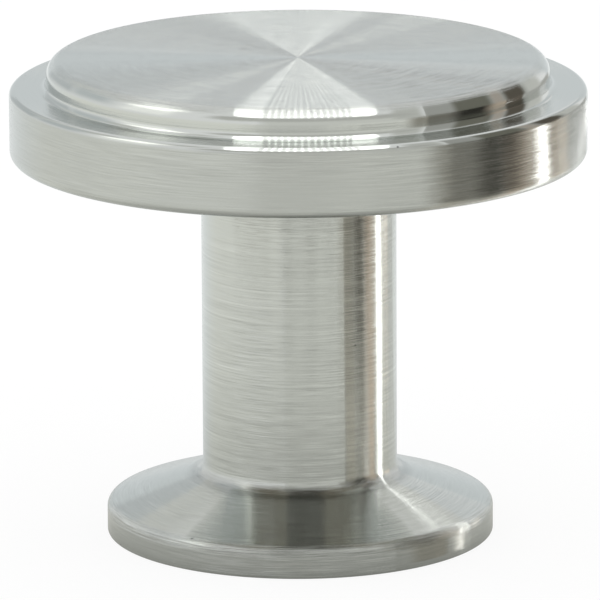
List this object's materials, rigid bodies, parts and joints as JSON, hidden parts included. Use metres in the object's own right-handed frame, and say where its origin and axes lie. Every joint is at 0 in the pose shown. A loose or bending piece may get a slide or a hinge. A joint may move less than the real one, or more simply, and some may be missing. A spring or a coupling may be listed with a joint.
{
  "type": "cabinet knob",
  "caption": "Round one-piece cabinet knob in satin brushed metal: stepped disc head, plain stem and flared conical foot with a tapped screw hole.",
  "frame": {"origin": "centre of the foot's flat seat, which lies against the door or drawer front", "axes": "+Z along the knob's axis, from the seat out to the crown; X and Y are free, because the knob is round"},
  "size_m": [0.032, 0.032, 0.0269],
  "materials": {
    "brushed_nickel": "satin, brushed in circles about the axis"
  },
  "bodies": {
    "root": {"knob": "brushed_nickel"}
  },
  "joints": []
}
